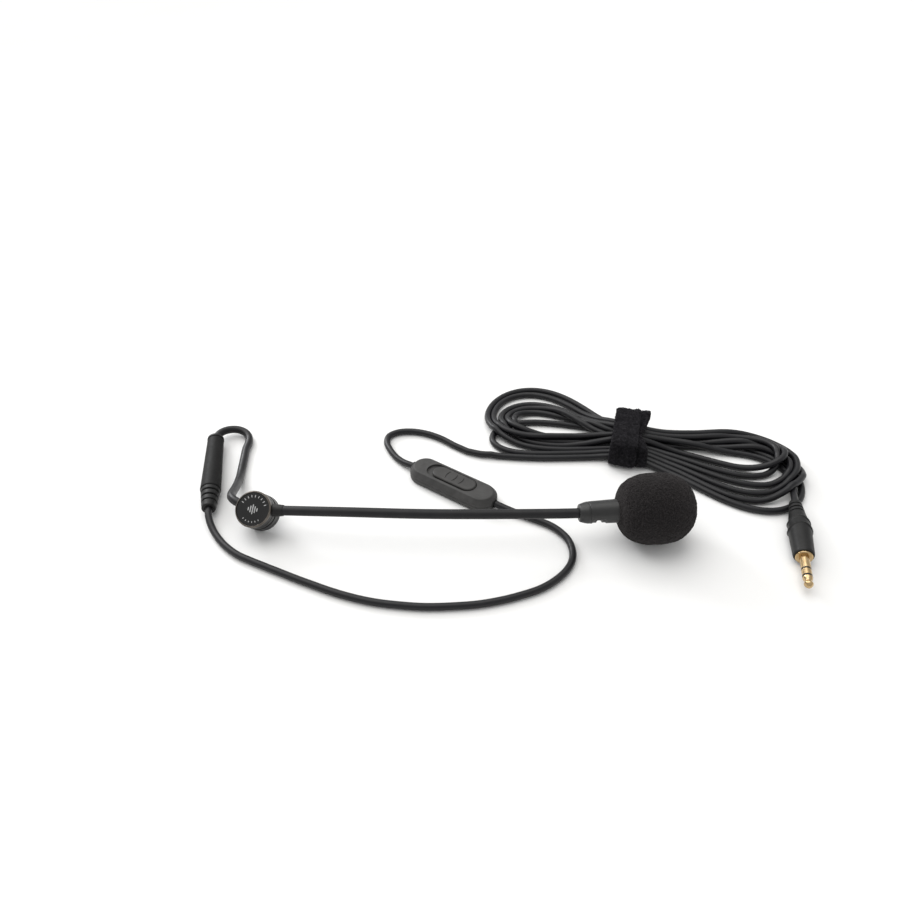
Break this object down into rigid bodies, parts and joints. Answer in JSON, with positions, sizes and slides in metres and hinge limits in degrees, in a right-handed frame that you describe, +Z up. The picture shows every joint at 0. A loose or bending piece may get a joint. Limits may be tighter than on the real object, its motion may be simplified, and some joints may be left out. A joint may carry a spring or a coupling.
{
  "type": "boom microphone",
  "caption": "Gooseneck boom microphone with a foam windscreen, a magnetic swivel clasp and a lead that carries a mute switch, a tied hank of cord and a 3.5 mm plug.",
  "frame": {"origin": "on the surface it lies on, under the middle of the microphone's own box (windscreen, boom and clasp; the cord and what is on it are left out)", "axes": "+X along the boom from the clasp to the windscreen, +Y away from the user, +Z up"},
  "size_m": [0.2482, 0.1304, 0.0274],
  "materials": {
    "foam": "matt open-cell foam",
    "black_plastic": "satin moulded",
    "soft_plastic": "satin, slightly rubbery",
    "switch_plastic": "fine spark-eroded texture",
    "boom_rubber": "smooth satin sleeve",
    "rubber": "satin",
    "cord": "satin jacket",
    "badge": "gloss with a pale print",
    "trim": "satin dark metallic",
    "steel": "bright",
    "magnet": "nickel plated",
    "felt": "felt",
    "board": "solder mask",
    "copper_wire": "insulated wire",
    "sticky_foam": "foam tape",
    "white_plastic": "natural",
    "tie": "brushed loop fabric",
    "gold": "gold plated",
    "insulator": "moulded"
  },
  "bodies": {
    "clasp": {"boom_sleeve_1": "boom_rubber", "boom_wire_1": "steel", "signal_wires_1": "copper_wire", "clasp_housing": "black_plastic", "clasp_badge": "badge", "trim_ring": "trim", "splice_board": "board", "boom_gland": "rubber", "lead_gland": "rubber", "mic_lead": "cord", "coupler_cap": "soft_plastic", "coupler_pin": "gold", "coupler_barrel": "soft_plastic", "coupler_contacts": "gold", "coupler_boot": "rubber", "front_lead": "cord", "switch_lower_shell": "switch_plastic", "switch_upper_shell": "switch_plastic", "slide_switch": "steel", "switch_board": "board", "switch_grommets": "rubber", "back_lead": "cord", "hank": "cord", "cable_tie": "tie", "tie_tail": "tie", "plug_lead": "cord", "plug_body": "soft_plastic", "plug_collar": "gold", "plug_sleeve": "gold", "plug_ring": "gold", "plug_tip": "gold", "plug_insulators": "insulator"},
    "boom_near": {"boom_sleeve_2": "boom_rubber", "boom_wire_2": "steel", "signal_wires_2": "copper_wire"},
    "boom_far": {"boom_sleeve_3": "boom_rubber", "boom_wire_3": "steel", "signal_wires_3": "copper_wire"},
    "head": {"boom_sleeve_4": "boom_rubber", "boom_wire_4": "steel", "signal_wires_4": "copper_wire", "tail_collar": "black_plastic", "capsule_housing": "black_plastic", "capsule_grille": "steel", "dust_felt": "felt", "electret_capsule": "steel", "capsule_boot": "rubber"},
    "foam": {"windscreen": "foam"},
    "turntable": {"turntable": "black_plastic", "keeper_plate": "steel", "swivel_clip": "steel"},
    "base": {"base_clasp": "black_plastic", "base_magnet": "magnet", "sticky_pad": "sticky_foam"},
    "knob": {"mute_knob": "switch_plastic", "switch_slider": "white_plastic"}
  },
  "joints": [
    {"name": "boom_bend_1", "type": "hinge", "parent": "clasp", "child": "boom_near", "pos_m": [-0.043, -0.0016, 0.0133], "axis": [0, -1, 0], "range_deg": [0, 30]},
    {"name": "boom_bend_2", "type": "hinge", "parent": "boom_near", "child": "boom_far", "pos_m": [-0.015, -0.0028, 0.0135], "axis": [0, -1, 0], "range_deg": [0, 30]},
    {"name": "boom_bend_3", "type": "hinge", "parent": "boom_far", "child": "head", "pos_m": [0.013, -0.003, 0.0136], "axis": [0, -1, 0], "range_deg": [0, 30]},
    {"name": "windscreen_pull", "type": "slide", "parent": "head", "child": "foam", "axis": [0.9962, 0.0872, 0], "range_m": [0, 0.0165]},
    {"name": "clasp_swivel", "type": "hinge", "parent": "clasp", "child": "turntable", "pos_m": [-0.0771, 0.0074, 0.00415], "axis": [-0.1308, -0.6156, 0.7771], "range_deg": [-90, 90]},
    {"name": "base_clasp_pull", "type": "slide", "parent": "turntable", "child": "base", "axis": [0.1308, 0.6156, -0.7771], "range_m": [0, 0.003]},
    {"name": "mute_slide", "type": "slide", "parent": "clasp", "child": "knob", "axis": [-0.8192, 0.5736, 0], "range_m": [0, 0.0027]}
  ],
  "couplings": [
    {"joint": "boom_bend_2", "follows": "boom_bend_1", "ratio": 1},
    {"joint": "boom_bend_3", "follows": "boom_bend_1", "ratio": 1}
  ]
}
